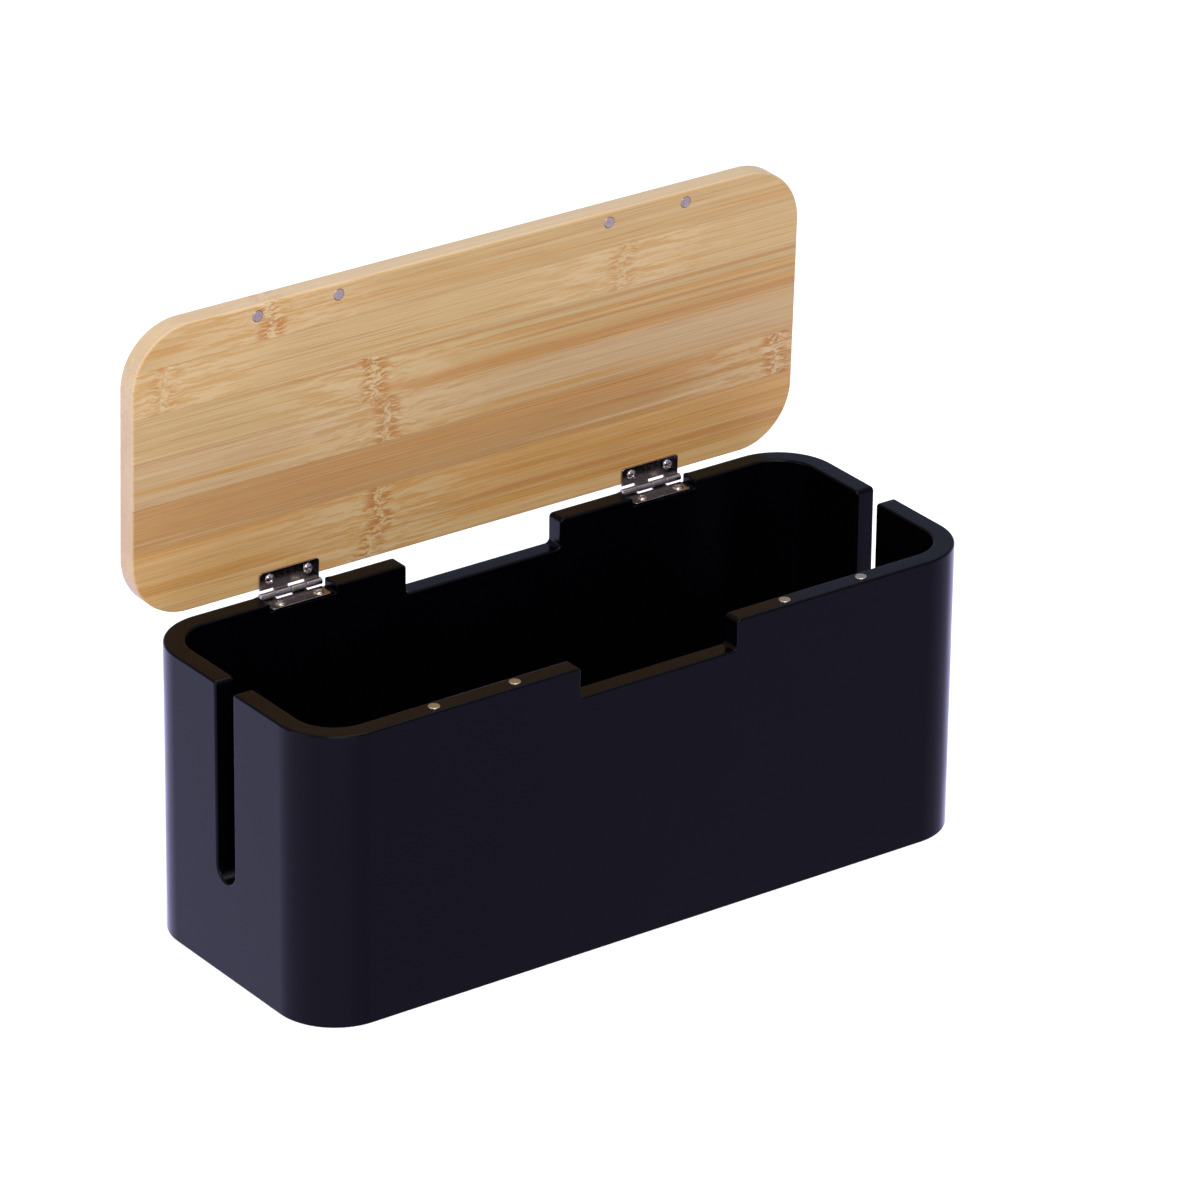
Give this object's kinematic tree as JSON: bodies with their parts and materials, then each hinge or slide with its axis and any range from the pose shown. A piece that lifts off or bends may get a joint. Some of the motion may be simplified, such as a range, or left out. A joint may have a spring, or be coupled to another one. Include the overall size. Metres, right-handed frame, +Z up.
{
  "type": "cable management box",
  "caption": "Oblong cable box with rounded corners, slotted ends, notched rims and a hinged bamboo lid held shut by magnets.",
  "frame": {"origin": "centre of the underside of the body", "axes": "+X along the box to the right seen from the front, -Y towards the front, +Z up"},
  "size_m": [0.3306, 0.1413, 0.258],
  "materials": {
    "body_black": "satin black lacquer",
    "bamboo": "satin clear lacquer over laminated bamboo strips",
    "hinge_nickel": "dark antique nickel plating",
    "screw_nickel": "bright nickel plating",
    "magnet_nickel": "satin nickel plating"
  },
  "bodies": {
    "box": {"base_panel": "body_black", "body_shell": "body_black", "left_hinge_body_leaf": "hinge_nickel", "left_hinge_body_screw_1": "screw_nickel", "left_hinge_body_screw_2": "screw_nickel", "left_hinge_pin": "screw_nickel", "right_hinge_body_leaf": "hinge_nickel", "right_hinge_body_screw_1": "screw_nickel", "right_hinge_body_screw_2": "screw_nickel", "right_hinge_pin": "screw_nickel", "rim_magnet_1": "magnet_nickel", "rim_magnet_2": "magnet_nickel", "rim_magnet_3": "magnet_nickel", "rim_magnet_4": "magnet_nickel"},
    "lid": {"left_hinge_lid_leaf": "hinge_nickel", "left_hinge_lid_screw_1": "screw_nickel", "left_hinge_lid_screw_2": "screw_nickel", "lid_board": "bamboo", "lid_magnet_1": "magnet_nickel", "lid_magnet_2": "magnet_nickel", "lid_magnet_3": "magnet_nickel", "lid_magnet_4": "magnet_nickel", "right_hinge_lid_leaf": "hinge_nickel", "right_hinge_lid_screw_1": "screw_nickel", "right_hinge_lid_screw_2": "screw_nickel"}
  },
  "joints": [
    {"name": "lid_hinge", "type": "hinge", "parent": "box", "child": "lid", "pos_m": [0, 0.06512, 0.1278], "axis": [-1, 0, 0], "range_deg": [-88.4, 100]}
  ]
}
